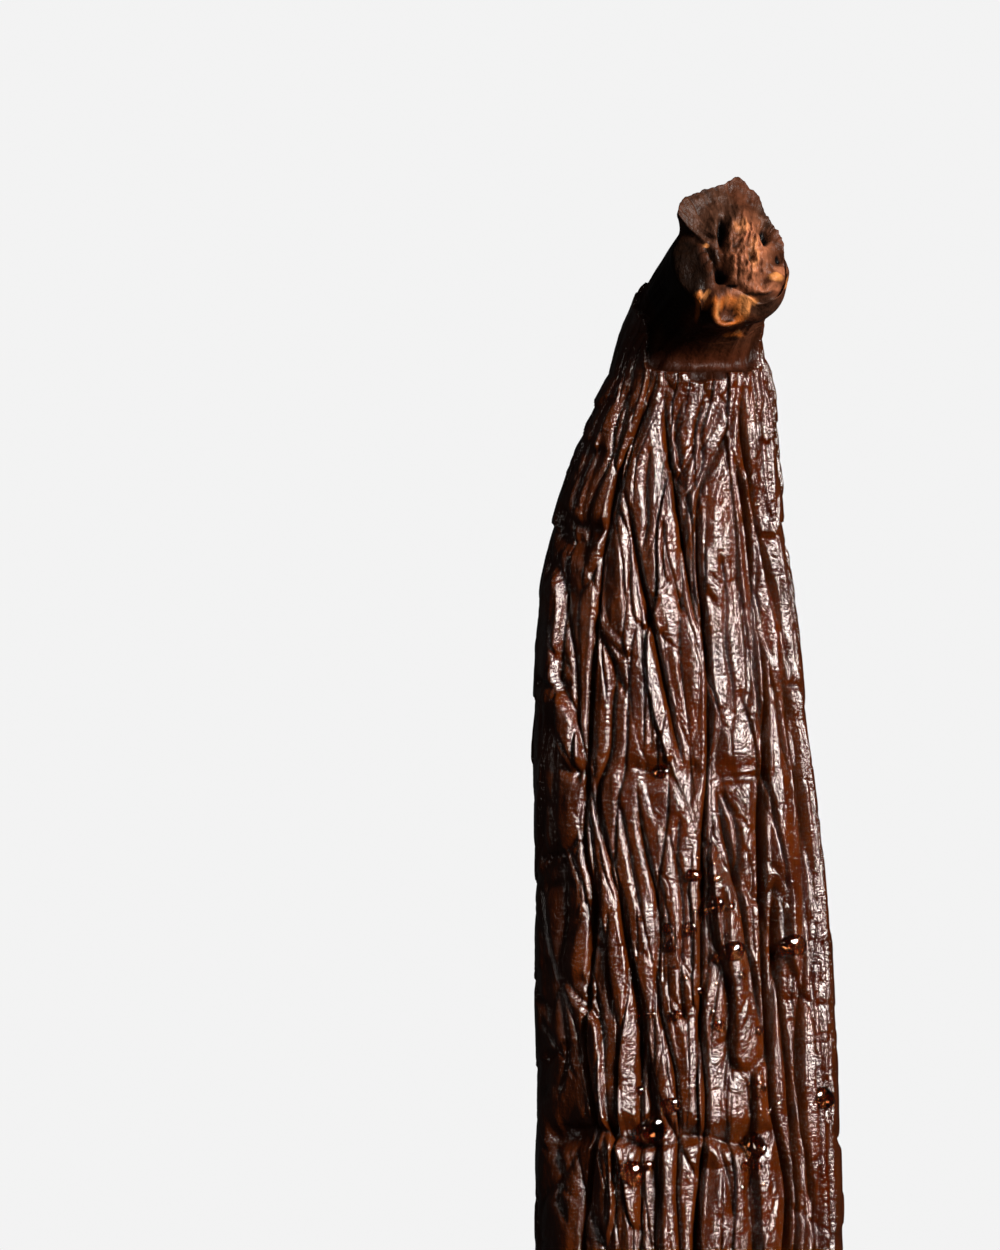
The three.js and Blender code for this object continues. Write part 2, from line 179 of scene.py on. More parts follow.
# Creases that run across it: depth, width and (share, station) along each
CREASES_ACROSS = [
    (0.26, 0.1, [(-0.97, 4.6), (-0.75, 4.75), (-0.56, 5.0)]),
    (0.24, 0.1, [(-0.98, 9.25), (-0.85, 9.3), (-0.7, 9.2)]),
    (0.12, 0.06, [(0.33, 10.5), (0.5, 10.45), (0.65, 10.6)]),
    (0.2, 0.08, [(0.26, 12.5), (0.44, 12.3), (0.62, 12.4)]),
    (0.22, 0.08, [(-0.32, 11.8), (-0.15, 11.95), (0.04, 11.7)]),
    (0.24, 0.1, [(-0.97, 14.7), (-0.82, 14.3), (-0.68, 13.9)]),
    (0.18, 0.08, [(-0.95, 15.6), (-0.82, 15.2), (-0.7, 15.3)]),
    (0.16, 0.08, [(0.87, 17.3), (0.99, 17.5)]),
    (0.14, 0.06, [(0.66, 19.2), (0.83, 19.15), (0.99, 19.3)]),
    (0.3, 0.13, [(-0.87, 22.7), (-0.6, 22.9), (-0.34, 23.3), (0, 23.1), (0.3, 23.35), (0.5, 23.1)]),
    (0.18, 0.08, [(-0.95, 19.6), (-0.85, 20.4), (-0.72, 21.2)]),
    (0.18, 0.08, [(-0.95, 21), (-0.85, 20.3), (-0.74, 19.7)]),
    (0.16, 0.07, [(-0.64, 17.2), (-0.5, 17.5), (-0.38, 17.3)]),
    (0.14, 0.06, [(-0.5, 7.9), (-0.38, 8.4), (-0.28, 8.6)]),
    (0.14, 0.06, [(0.3, 5.9), (0.45, 6.3), (0.6, 6.1)]),
]
CREASE_RUN_OUT = 0.6
CREASE_ACROSS_RUN_OUT = 0.08
CREASE_WAVES = (0.1, 9)  # height, and number in a turn
# painted shade: how strongly the fine creases are darkened
CREASE_DARKNESS = 4

# The skin's finer relief
FINE_STRONGEST = 0.6  # a furrow counts for no more than this
FINE_CREVICE_WIDTH = 0.065
FINE_CREVICE_SHARE = 0.46
FINE_SLOPE_SHARE = 0.24  # of the flat slopes on both sides of a furrow
FINE_SLOPE_WIDTH = 0.5
LIP_RISE = 0.075  # height of the thin edge along a furrow, over its depth
LIP_AWAY = 0.17
LIP_WIDTH = 0.055
LIP_UNEVEN = (0.7, 0.8, 1.3)  # mean, spread and most of the edge's unevenness
SLIT_DEPTH = 0.15
SLIT_WIDTH = 0.04
WANDER = 0.05  # how far fine furrows stray from their smooth line
# Cells of the skin: number round the pod, length, depth and width of their creases, tilt of their
# flats, share of bare skin, from -1 for none to 1 for all, and strength of the painted shade in their
# creases
CELLS = [
    (15, 8, 0.15, 0.04, 0.6, -1, 0.9), (27, 4, 0.08, 0.05, 0.2, -0.05, 0.6),
    (21, 2, 0.07, 0.04, 0.14, 0.1, 0.5), (60, 1.3, 0.008, 0.12, 0.03, 0, 0),
]
CELL_SLANT = 0.035  # lean of the cells on the left, in radians for each mm
CELL_SLANT_END = 30
CELL_SLANT_MIDDLE = -0.7
CELL_SLANT_WIDTH = 0.6
CELL_BEND = (0.35, 1.6, 4)  # how far they stray, and the waves' width and length
CELL_SHIFT = (0.25, 1.2, 2.5)
CELL_PATCH = (1.8, 4)  # width and length of the patches that cells cover
CELL_PATCH_EDGE = 0.15
CELL_FLAT_EDGE = 0.1
OUTLINE_CALM = 0.6  # how much less flats tilt at the sides
OUTLINE_WIDTH = 0.4
CREASE_SHADE = (0.2, 1)  # strength of the painted shade in creases at the left and at the right
CREASE_DEEPER = (1, 2.2)  # how much deeper they are
CREASE_TURN = (0.2, 0.8)  # between which angles that changes
SIDE_SHADE = 0.55  # painted shade: how much darker the skin is at the sides and below
SIDE_TURN = (0.95, 1.5)  # between which angles that begins
CRUMPLE = [(0.9, 3, 0.03), (0.25, 0.5, 0.01)]  # width, length and height of its waves
RIPPLES = [(0.55, 0.2, 1, 0.02), (-0.65, 0.26, 1.3, 0.016)]  # slant, width, length and height
RIPPLES_END = (2.3, 2.8)  # how far round the pod they fade
RIPPLES_AT_COLLAR = 2  # how far from the collar they are strongest
RIPPLE_PATCHES = (-0.2, 0.4)
# Steps where the skin overlaps itself: station, first and last angle, slant, depth
STEPS = [
    (0.9, -2.2, -0.95, 0.5, 0.16), (2.3, -2.2, -0.8, -0.35, 0.2), (3.5, -2.2, -1.0, 0.4, 0.12),
    (5.0, -2.2, -0.72, 0.25, 0.18), (9.5, -2.2, -1.0, -0.3, 0.1), (15, -2.2, -0.9, 0.4, 0.08),
    (17.9, -2.2, -1.05, -0.4, 0.08), (20.6, -2.2, -0.85, 0.35, 0.08), (1.4, 0.95, 2.2, -0.4, 0.12),
    (4.3, 0.9, 2.2, 0.5, 0.16), (10.4, 1.05, 2.2, 0.3, 0.06), (19.3, 0.75, 2.2, 0.15, 0.04),
    (26.3, 0.8, 2.2, -0.3, 0.05),
]
STEP_SHARPNESS = 0.05
STEP_LENGTH = 1.1
STEP_SIDE_FADE = 0.1
STEP_WAVES = 4
STEP_FRAY = (0.08, 23)  # height and number of its waves
COLLAR_EDGE_RISE = 0.1
COLLAR_EDGE_WIDTH = 0.3
COLLAR_WAVES = [(0.09, 7, 0.5), (0.05, 19, 0)]  # height, number in a turn, and phase
FINE_COLLAR_STEP = 0.05
UNDER_COLLAR_PAINTED_SHADE = (0.35, 0.3)  # middle and width of the painted shade line under the skin's edge, as skin shares
NECK_SPREAD = 0.45  # share of the neck that widens towards the collar
SKIN_THICKNESS = 0.1  # of the skin where it ends at the collar
NECK_RIDGE_HEIGHT = 0.12
NECK_FIBRE_HEIGHT = 0.035
NECK_FIBRES_END = (-4.4, -3.2)
NECK_BASE_SHADE = 0.85  # painted shade of the neck where the skin begins
NECK_BASE_LENGTH = 1
FLAP_SPREAD = 0.05
# Tears of the flap: middle and half width in degrees, and depth
FLAP_TEARS = [(194, 9, 0.19), (170, 4, 0.1), (207, 4, 0.06)]
RIM_RAGGED = 0.05
RIM_WAVES = [(9, 1, 1.5), (22, 0.6, 5.5)]  # how narrow, share of the whole, and lane of each noise
BOSS = (-8, 15, 0.38)  # scarred lump on the lip: middle and half width in degrees, height
TORN_RIM = (1.5, 1.9)  # how far round the rim it starts to be torn
SKIN_RADIUS = 3.9  # mean radius of the body, for relief that runs round it

# The mesh
COLUMNS = 560
TOP_CROWDING = 0.5
FACE_ROWS = 60
FINE_STEP = 0.09
COLLAR_ROWS = (-2.5, 0.5)
COLLAR_ROW_STEP = 0.04
COARSE_STEP = 0.28
FINE_END = 30
TIP_ROWS = 20
SOLID_COLUMNS = 64  # of the solid, for its outline
SOLID_ROWS = 66
SOLID_CROWDING = 0.2
SOLID_ROW_POWER = 1.7

# The photograph: its scale, and where the collar's middle is in it
MM_PER_PIXEL = 0.0302
COLLAR_PIXEL = (691, 372)
FRAME_PIXELS = (1000, 1250)
CAMERA_DISTANCE = 300
CAMERA_LEVEL = 5  # height of the plane that has the scale above
SENSOR_HEIGHT = 36
CLIP_START = 0.01

# Hills and dents of the knob: middle and half sizes, seen from above, and height
KNOB_RELIEF = [
    (-0.46, 0.55, 0.14, 0.45, -0.6), (-0.5, -0.7, 0.24, 0.3, -0.55), (0.78, 0.42, 0.16, 0.3, -0.35),
    (1.22, -0.22, 0.13, 0.2, -0.3), (-1.1, 0.85, 0.35, 0.45, -0.2), (0.27, 0.1, 0.5, 0.95, 0.13),
    (0.25, -0.75, 0.35, 0.3, 0.05), (1.08, -0.9, 0.25, 0.2, 0.2), (0.7, -0.95, 0.14, 0.22, -0.18),
    (-0.28, -1.85, 0.32, 0.28, -0.38), (-0.78, -1.68, 0.14, 0.3, 0.16), (-0.3, -1.5, 0.4, 0.1, 0.14),
    (-1.24, 0.02, 0.12, 0.16, 0.16), (-1.07, -0.25, 0.12, 0.16, 0.16), (-0.9, -0.5, 0.12, 0.16, 0.16),
    (-0.74, -0.75, 0.12, 0.16, 0.14), (-1.4, -0.75, 0.2, 0.3, -0.14),
    (0.22, -1.85, 0.12, 0.3, 0.15), (-0.28, -2.28, 0.35, 0.1, 0.12), (-1.02, -1.85, 0.09, 0.5, -0.3),
    (-1.28, -1.6, 0.1, 0.55, 0.16), (-0.1, -2.58, 0.2, 0.16, 0.14), (0.62, -1.75, 0.2, 0.35, -0.16),
    (0.95, -1.65, 0.2, 0.4, 0.1),
]
CORE = (0.27, 0, 0.58, 1.15)  # middle and half sizes of the fibrous core
RAYS_MIDDLE = (0.1, -0.6)
RAYS_END = (0.1, 0.7)

# Colours of the knob, and its patches: colour, middle and half sizes. Later ones lie on top.
WOOD = (0.07, 0.022, 0.01)
RUST = (0.24, 0.083, 0.04)
EMBER = (0.36, 0.135, 0.055)
ASH = (0.05, 0.02, 0.011)
AMBER = (0.52, 0.195, 0.06)
ORANGE = (0.42, 0.11, 0.02)
# painted shade: dark brown on the knob's left side, which faces away from the light, and along its folds
KNOB_SHADE_BROWN = (0.012, 0.005, 0.0026)
# painted shade: near black in the knob's pits and dents
PIT_SHADE_BLACK = (0.003, 0.002, 0.002)
KNOB_PATCHES = [
    (ASH, -0.9, 1.1, 0.9, 0.9), (WOOD, 0.1, 1.8, 0.35, 0.45), (ASH, 0.9, 1.1, 0.45, 0.5),
    (RUST, 0.3, -0.1, 0.6, 1.1), (EMBER, 0.05, 0.7, 0.22, 0.22), (EMBER, 0.4, -0.2, 0.16, 0.5),
    (WOOD, 1.3, 0.3, 0.25, 0.35), (KNOB_SHADE_BROWN, -1.3, -0.35, 0.75, 0.55),
    (KNOB_SHADE_BROWN, -1.6, -1.1, 0.7, 0.7), (KNOB_SHADE_BROWN, -1.8, -0.5, 0.85, 1.0), (ASH, 0.8, -1.7, 0.5, 0.32),
    (WOOD, 0.55, -2.1, 0.4, 0.2),
    (WOOD, -1.2, 0.0, 0.1, 0.16), (WOOD, -1.04, -0.27, 0.1, 0.16), (WOOD, -0.88, -0.52, 0.1, 0.16),
    (WOOD, -0.74, -0.76, 0.1, 0.14), (AMBER, 0.05, -1.52, 0.5, 0.15),
    (RUST, -0.12, -1.28, 0.24, 0.12), (ORANGE, -0.72, -1.6, 0.26, 0.08),
    (AMBER, -1.1, -1.35, 0.24, 0.07), (ORANGE, -1.28, -1.75, 0.07, 0.4), (KNOB_SHADE_BROWN, -0.95, -1.95, 0.26, 0.3),
    (ORANGE, -0.28, -1.87, 0.48, 0.43), (AMBER, 0.2, -1.75, 0.14, 0.26), (AMBER, -0.6, -1.8, 0.09, 0.25),
    (PIT_SHADE_BLACK, -0.28, -1.84, 0.31, 0.26), (WOOD, -0.3, -1.82, 0.2, 0.15), (ORANGE, -0.12, -2.5, 0.32, 0.1),
    (AMBER, -0.02, -2.42, 0.1, 0.06), (KNOB_SHADE_BROWN, -0.12, -2.66, 0.16, 0.08), (AMBER, 1.08, -0.86, 0.2, 0.15),
    # the small patches (AMBER, -0.98, 0.16) and (AMBER, 1.42, -1.0) are painted highlights on lit edges
    (RUST, 1.25, -0.62, 0.2, 0.14), (RUST, 0.85, -1.15, 0.42, 0.12), (AMBER, -0.98, 0.16, 0.08, 0.08),
    (AMBER, 1.42, -1.0, 0.05, 0.14), (PIT_SHADE_BLACK, -0.46, 0.55, 0.13, 0.45), (PIT_SHADE_BLACK, -0.5, -0.72, 0.2, 0.26),
    (PIT_SHADE_BLACK, -0.28, -1.08, 0.2, 0.08), (PIT_SHADE_BLACK, 0.78, 0.42, 0.12, 0.28), (PIT_SHADE_BLACK, 1.22, -0.2, 0.07, 0.12),
    (KNOB_SHADE_BROWN, -2.4, -1.9, 0.8, 1.6), (KNOB_SHADE_BROWN, 0.45, -1.33, 0.5, 0.04),
]
PATCH_EDGE = 0.3  # how soft a patch's edge is
PATCH_STRAY = 0.06
KNOB_END = (-3.2, -2.4)  # between which y its wood fades into the neck's
KNOB_UPPER = (-3, -2)  # between which z its relief ends

# Colours of the skin, the stem, the painted shade on each, and the oil
SKIN_COLOURS = ((0.022, 0.0038, 0.0004, 1), (0.042, 0.0078, 0.0008, 1))
SKIN_PAINTED_SHADE_COLOUR = (0.004, 0.001, 0.0003, 1)
STEM_COLOURS = ((0.013, 0.003, 0.001, 1), (0.026, 0.0062, 0.0022, 1))
STEM_PAINTED_SHADE_COLOUR = (0.006, 0.0015, 0.0005, 1)
OIL_COLOUR = (0.6, 0.24, 0.09, 1)
GRAIN_SCALE = (1, 0.55, 1)
STRIAE_SCALE = (0.6, 1.6, 0.6)

# Drops of oil on the skin: pixel and radius in pixels of each in the photograph
DROP_PIXELS = [
    (693, 875, 7), (718, 877, 5), (716, 905, 8), (732, 905, 4), (668, 928, 6), (690, 928, 7),
    (671, 945, 6), (733, 950, 11), (742, 975, 4), (675, 1015, 6), (650, 1015, 5), (720, 1025, 6),
    (760, 1030, 5), (750, 1083, 3), (763, 1088, 4), (670, 1105, 9), (633, 1172, 13), (755, 1145, 12),
    (825, 1100, 12), (745, 1165, 5), (757, 1165, 5), (655, 1130, 15), (795, 945, 12), (661, 771, 7),
    (642, 918, 4), (700, 990, 4), (712, 1012, 3), (648, 1165, 6), (640, 1090, 5),
]
# Clusters of fine drops: middle and half sizes in pixels, and how many
DROP_CLUSTERS = [
    (715, 880, 28, 40, 16), (755, 1092, 26, 22, 12), (748, 1175, 18, 26, 12), (690, 960, 40, 60, 14),
]
FINE_DROP_PIXELS = (1, 2.6)
DROP_HEIGHT = 0.45  # height over radius
DROP_SINK = 0.06
DROP_LENGTH = 1.15  # length over width
DROP_WAVES = (0.08, 0.05)
DROP_GROUND = 0.2  # least height of a normal under a drop
DROP_REACH = 0.8
DROP_LEVEL = 0.88  # share of the skin under it that lies below its middle
DROP_SIDES = 20
DROP_RINGS = 8

# The floor and the lights: place from the aim, size and energy of each, in metres and watts
WHITE = (1, 1, 1, 1)
FLOOR_HALF = 1500
FLOOR_BRIGHTNESS = 0.895
AIM_PIXEL = (700, 700)
LIGHTS = [
    ("key", (0.182, 0.1, 0.188), (0.065, 0.1), 3.5),
    ("fill", (-0.12, 0.1, 0.2), (0.03, 0.04), 0.07),
]
LIGHT_COLOUR = (1, 0.95, 0.9)
WORLD_BRIGHTNESS = 0.02

random = np.random.default_rng(SEED)
SHUFFLE = random.permutation(256)
GRADIENTS = random.normal(size=(256, 3))
GRADIENTS /= np.linalg.norm(GRADIENTS, axis=1)[:, None]
JITTER = random.random((256, 3))


def smooth(x, low, high):
    share = np.clip((x - low) / (high - low), 0, 1)
    return share * share * (3 - 2 * share)


def mix(a, b, share):
    return a + (b - a) * share


def bell(x):
    return np.exp(-(x**2))


def turn(angle):
    """The same angle, from -half a turn to half a turn."""
    return np.arctan2(np.sin(angle), np.cos(angle))


def height_at(points, x):
    """The height at x of a smooth line through points of (x, height)."""
    px, py = np.array(points, float).T
    i = np.clip(np.searchsorted(px, x) - 1, 0, len(px) - 2)
    earlier = np.maximum(i - 1, 0)
    later = np.minimum(i + 2, len(px) - 1)
    before = (py[i + 1] - py[earlier]) / (px[i + 1] - px[earlier])
    after = (py[later] - py[i]) / (px[later] - px[i])
    step = px[i + 1] - px[i]
    u = np.clip((x - px[i]) / step, 0, 1)
    start = (2 * u**3 - 3 * u**2 + 1) * py[i] + (u**3 - 2 * u**2 + u) * step * before
    return start + (3 * u**2 - 2 * u**3) * py[i + 1] + (u**3 - u**2) * step * after


def noise(x, y, z):
    """Smooth noise from about -1 to 1, with waves about two units long."""
    whole = [np.floor(v).astype(int) for v in (x, y, z)]
    part = [v - w for v, w in zip((x, y, z), whole)]
    fade = [v**3 * (v * (6 * v - 15) + 10) for v in part]
    total = 0
    for corner in range(8):
        step = [corner & 1, corner >> 1 & 1, corner >> 2]
        index = 0
        for w, s in zip(whole, step):
            index = SHUFFLE[(index + w + s) & 255]
        gradient = GRADIENTS[index]
        dot = sum(gradient[..., axis] * (part[axis] - step[axis]) for axis in range(3))
        weight = 1
        for f, s in zip(fade, step):
            weight = weight * (f if s else 1 - f)
        total = total + weight * dot
    return 1.5 * total


def flat_noise(x, y, lane):
    """Noise on a plane, another one for each lane."""
    return noise(x, y, np.full(np.shape(x), float(lane)))


def skin_noise(station, angle, width, length, lane):
    """Noise on the skin, with waves of that width round the pod and length along it."""
    across = SKIN_RADIUS / width
    x = across * np.sin(angle) + 7.3 * lane
    return noise(x, across * np.cos(angle), station / length + 3.1 * lane)


def cells(station, angle, around, length, lane):
    """Long cells of the skin: how far each point is from its cell's border, 0 on the border, and
    the height of the tilted flat that the cell makes, both in cell widths."""
    stray_x, *waves_x = CELL_BEND
    stray_y, *waves_y = CELL_SHIFT
    round_it = turn(angle)
    on_left = bell((round_it - CELL_SLANT_MIDDLE) / CELL_SLANT_WIDTH)
    slanted = round_it - CELL_SLANT * np.clip(station, 0, CELL_SLANT_END) * on_left
    x = (slanted / TURN + 0.5) * around + stray_x * skin_noise(station, angle, *waves_x, lane)
    y = station / length + stray_y * skin_noise(station, angle, *waves_y, lane + 1)
    column = np.floor(x).astype(int)
    row = np.floor(y).astype(int)
    nearest = np.full(x.shape, 9.0)
    second = np.full(x.shape, 9.0)
    flat = np.zeros(x.shape)
    for dx in (-1, 0, 1):
        for dy in (-1, 0, 1):
            index = SHUFFLE[(SHUFFLE[(column + dx) % around] + row + dy + 31 * lane) & 255]
            aside = column + dx + JITTER[index, 0] - x
            away = np.hypot(aside, row + dy + JITTER[index, 1] - y)
            second = np.minimum(second, np.maximum(nearest, away))
            flat = np.where(away < nearest, (2 * JITTER[index, 2] - 1) * aside, flat)
            nearest = np.minimum(nearest, away)
    return second - nearest, flat


def draws(seed):
    """Numbers from 0 to 1, the ones that the solid's furrows are drawn from."""
    whole = 0xFFFFFFFF
    state = seed
    while True:
        state = (state + 0x6D2B79F5) & whole
        mixed = (state ^ state >> 15) * (1 | state) & whole
        mixed = (mixed + (mixed ^ mixed >> 7) * (61 | mixed)) & whole ^ mixed
        yield (mixed ^ mixed >> 14) / (whole + 1)


def named_furrows():
    furrows = []
    for depth, path in NAMED_FURROWS:
        points = [(station, math.asin(share)) for station, share in path]
        furrows.append((path[0][0], path[-1][0], depth, partial(height_at, points), False))
    return furrows


def drawn_line(angle, drift, middle, swing_length, phase, station):
    swing = FURROW_SWING * np.sin(TURN * station / swing_length + phase)
    return angle + drift * (station - middle) + swing


def random_furrows():
    draw = draws(SEED)
    furrows = []
    for i in range(FURROW_COUNT):
        length = mix(*FURROW_LENGTH, next(draw))
        middle = next(draw) * BODY_LENGTH
        angle = i / FURROW_COUNT * TURN * FURROW_TURNS + next(draw)
        drift = (2 * next(draw) - 1) * FURROW_DRIFT
        swing_length = mix(*FURROW_SWING_LENGTH, next(draw))
        phase = next(draw) * TURN
        depth = mix(*FURROW_DEPTH, next(draw))
        line = partial(drawn_line, angle, drift, middle, swing_length, phase)
        start = max(middle - length / 2, FURROWS_START)
        end = min(middle + length / 2, FURROWS_END)
        furrows.append((start, end, depth, line, True))
    return furrows


# First and last station, depth, line of angles, and whether it is drawn, of each furrow
FURROWS = named_furrows() + random_furrows()


def body_width(station):
    reach = (station - BODY_LENGTH + TIP_TAPER) / TIP_TAPER
    pinch = COLLAR_PINCH * np.exp(-station / PINCH_FADE)
    return HALF_WIDTH * (1 - pinch) * (1 - TIP_NARROWING * smooth(reach, 0, 1))


def roundness(station):
    return FLATNESS + COLLAR_ROUNDING * np.exp(-station / LIFT_FADE)


def half_width(station):
    reach = np.clip((station - BODY_LENGTH + TIP_DOME) / TIP_DOME, 0, TIP_CLOSED)
    return body_width(station) * np.sqrt(1 - reach**2)


def half_thickness(station):
    return half_width(station) * roundness(station)


def body_middle(station):
    pull = station / SWAY_STATION * np.exp(1 - station / SWAY_STATION)
    bend = np.maximum(station - BEND_START, 0) / (BODY_LENGTH - BEND_START)
    lift = COLLAR_LIFT * np.exp(-station / LIFT_FADE)
    height = body_width(station) * roundness(station) - UNDERSIDE_FLAT + lift
    return np.stack([BEND * bend**2 - SWAY * pull**2, -station, height], axis=-1)


def neck_point(share):
    """A point of the neck's curve, which has the control points a, b, c and d."""
    a, d = body_middle(np.array(0.0)), KNOB
    b = a + np.array([0, NECK_START_PULL, 0])
    c = d - NECK_END_PULL * KNOB_DIRECTION / np.linalg.norm(KNOB_DIRECTION)
    u = share[..., None]
    return (1 - u) ** 3 * a + 3 * (1 - u) ** 2 * u * b + 3 * (1 - u) * u**2 * c + u**3 * d


def frame_at(station):
    """The section at each station: its middle, and the along, side and up directions."""
    ahead = 0.01
    on_neck = (station < 0)[..., None]
    up_neck = np.clip(-station / NECK_LENGTH, 0, 1)
    nudge = 0.001
    from_share = np.clip(up_neck, nudge, 1 - nudge)
    rise = neck_point(from_share + nudge) - neck_point(from_share - nudge)
    below = np.maximum(station, 0)
    body = body_middle(below)
    middle = np.where(on_neck, neck_point(up_neck), body)
    along = np.where(on_neck, -rise, body_middle(below + ahead) - body)
    along /= np.linalg.norm(along, axis=-1, keepdims=True)
    side = np.array([1.0, 0, 0]) - along * along[..., :1]
    side /= np.linalg.norm(side, axis=-1, keepdims=True)
    return middle, along, side, np.cross(along, side)


def arc_radius(station, angle):
    return np.hypot(half_width(station) * np.cos(angle), half_thickness(station) * np.sin(angle))


def random_share(station, angle):
    """1 where the drawn furrows are, 0 where the named ones are."""
    return np.maximum(smooth(np.abs(turn(angle)), *NAMED_SIDE), smooth(station, *NAMED_END))


def furrow_depths(station, angle, strayed, fine):
    """How deep the skin is folded in: by furrows, by their slits, and how far their lips stand out."""
    arc = arc_radius(station, angle)
    depths = np.zeros((3, *angle.shape))
    shared = random_share(station, angle)
    deeper = mix(*CREASE_DEEPER, smooth(angle, *CREASE_TURN))
    for start, end, depth, line, is_random in FURROWS:
        rows = np.flatnonzero((station[:, 0] >= start) & (station[:, 0] <= end))
        at = station[rows]
        away = np.abs(turn(strayed[rows] - line(at))) * arc[rows]
        run_out = smooth(np.minimum(at - start, end - at) / FURROW_FADE, 0, 1)
        strength = depth * run_out * (shared[rows] if is_random else 1)
        if fine:
            strength = strength * deeper[rows] * min(1, FINE_STRONGEST / depth)
            profile = FINE_CREVICE_SHARE * np.exp(-away / FINE_CREVICE_WIDTH)
            profile += FINE_SLOPE_SHARE * np.maximum(0, 1 - away / FINE_SLOPE_WIDTH)
        else:
            profile = CREVICE_SHARE * np.exp(-away / CREVICE_WIDTH)
            profile += (1 - CREVICE_SHARE) * bell(away / VALLEY_WIDTH)
        lip = bell((away - LIP_AWAY) / LIP_WIDTH)
        profiles = np.stack([profile, np.exp(-away / SLIT_WIDTH), lip])
        depths[:, rows] = np.maximum(depths[:, rows], strength * profiles)
    return depths * np.minimum(1, half_width(station) / SHALLOW_BELOW)


def fold_depth(station, angle):
    deepest = 0
    for middle, start, end, slant, depth in FOLDS:
        side = smooth(angle, start - FOLD_FADE, start) * (1 - smooth(angle, end, end + FOLD_FADE))
        away = (station - middle - slant * np.sin(FOLD_WAVES * angle)) / FOLD_WIDTH
        deepest = np.maximum(deepest, depth * side * bell(away))
    return deepest


def within(x, points, fade):
    """1 between the ends of a line of points, 0 beyond them."""
    return smooth(np.minimum(x - points[0][0], points[-1][0] - x), 0, fade)


def crease_depth(station, angle, strayed):
    """The fine creases read from the photograph."""
    arc = arc_radius(station, angle)
    deepest = np.zeros(angle.shape)
    for depth, width, path in CREASES_ALONG:
        points = [(at, math.asin(share)) for at, share in path]
        away = np.abs(strayed - height_at(points, station)) * arc
        profile = within(station, points, CREASE_RUN_OUT) * np.exp(-away / width)
        deepest = np.maximum(deepest, depth * profile)
    waver, number = CREASE_WAVES
    for depth, width, path in CREASES_ACROSS:
        points = [(math.asin(share), at) for share, at in path]
        wave = waver * np.sin(number * angle + depth)
        away = np.abs(station - height_at(points, angle) + wave)
        profile = within(angle, points, CREASE_ACROSS_RUN_OUT) * np.exp(-away / width)
        deepest = np.maximum(deepest, depth * profile)
    return deepest


def stray(station, angle):
    """The angle moved a little aside, so that fine furrows wander."""
    aside = skin_noise(station, angle, 1.4, 3, 1) + 0.5 * skin_noise(station, angle, 0.6, 1.2, 2)
    return angle + WANDER * aside / np.maximum(arc_radius(station, angle), 0.5)


def cell_relief(station, angle):
    """How deep the cells' creases and flats lie, and how much painted shade the creases get."""
    calm = 1 - OUTLINE_CALM * bell((np.abs(turn(angle)) - TURN / 4) / OUTLINE_WIDTH)
    depth = 0
    dark = 0
    for lane, (around, length, crease, width, tilt, bare, shade) in enumerate(CELLS):
        border, flat = cells(station, angle, around, length, 5 + 3 * lane)
        patches = skin_noise(station, angle, *CELL_PATCH, 30 + lane)
        cover = smooth(patches, bare - CELL_PATCH_EDGE, bare + CELL_PATCH_EDGE)
        edge = np.exp(-border / width)
        flats = calm * tilt * flat * smooth(border, 0, CELL_FLAT_EDGE)
        depth = depth + cover * (crease * edge + flats)
        dark = np.maximum(dark, shade * cover * edge**2)
    return depth, dark


def ripple_depth(station, angle):
    """Small slanting waves, in patches and near the collar."""
    patches = smooth(skin_noise(station, angle, 1.6, 3, 19), *RIPPLE_PATCHES)
    rippled = patches + bell(station / RIPPLES_AT_COLLAR)
    rippled = rippled * (1 - smooth(np.abs(angle), *RIPPLES_END))
    depth = 0
    for lane, (slant, width, length, height) in enumerate(RIPPLES):
        across = SKIN_RADIUS * angle * math.cos(slant) + station * math.sin(slant)
        along = station * math.cos(slant) - SKIN_RADIUS * angle * math.sin(slant)
        depth = depth + height * flat_noise(across / width, along / length, 3.5 + lane)
    return rippled * depth


def skin_relief(station, angle):
    """How deep the skin lies below its smooth form, with all its fine relief, and how much painted shade
    it gets in its creases and at its sides.
    """
    strayed = stray(station, angle)
    deep, slit, lip = furrow_depths(station, angle, strayed, fine=True)
    deep = np.maximum(deep, fold_depth(station, angle))
    mean, spread, most = LIP_UNEVEN
    uneven = np.clip(mean + spread * skin_noise(station, angle, 0.9, 2.2, 3), 0, most)
    creased = crease_depth(station, angle, strayed)
    depth, dark = cell_relief(station, angle)
    depth += deep + SLIT_DEPTH * slit - LIP_RISE * lip * uneven
    depth += ripple_depth(station, angle) + creased + step_depth(station, angle)
    for lane, (width, length, height) in enumerate(CRUMPLE):
        depth += height * skin_noise(station, angle, width, length, 16 + lane)
    depth -= COLLAR_EDGE_RISE * bell((station - collar_edge(angle)) / COLLAR_EDGE_WIDTH)
    dark = np.maximum(np.maximum(dark, slit**2), (CREASE_DARKNESS * creased) ** 2)
    dark = dark * mix(*CREASE_SHADE, smooth(angle, *CREASE_TURN))
    # painted shade at the sides and below
    dark = np.maximum(dark, SIDE_SHADE * smooth(np.abs(turn(angle)), *SIDE_TURN))
    settle = np.minimum(1, half_width(station) / SHALLOW_BELOW)
    return settle * depth, dark


def step_depth(station, angle):
    deepest = 0
    fray, number = STEP_FRAY
    for middle, start, end, slant, depth in STEPS:
        side = smooth(angle, start, start + STEP_SIDE_FADE)
        side = side * (1 - smooth(angle, end - STEP_SIDE_FADE, end + STEP_SIDE_FADE))
        wave = slant * np.sin(STEP_WAVES * angle + middle) + fray * np.sin(number * angle)
        away = station - middle - wave
        fall = np.exp(-np.maximum(away, 0) / STEP_LENGTH)
        fall = fall * smooth(away, -STEP_SHARPNESS, STEP_SHARPNESS)
        deepest = np.maximum(deepest, depth * side * fall)
    return deepest


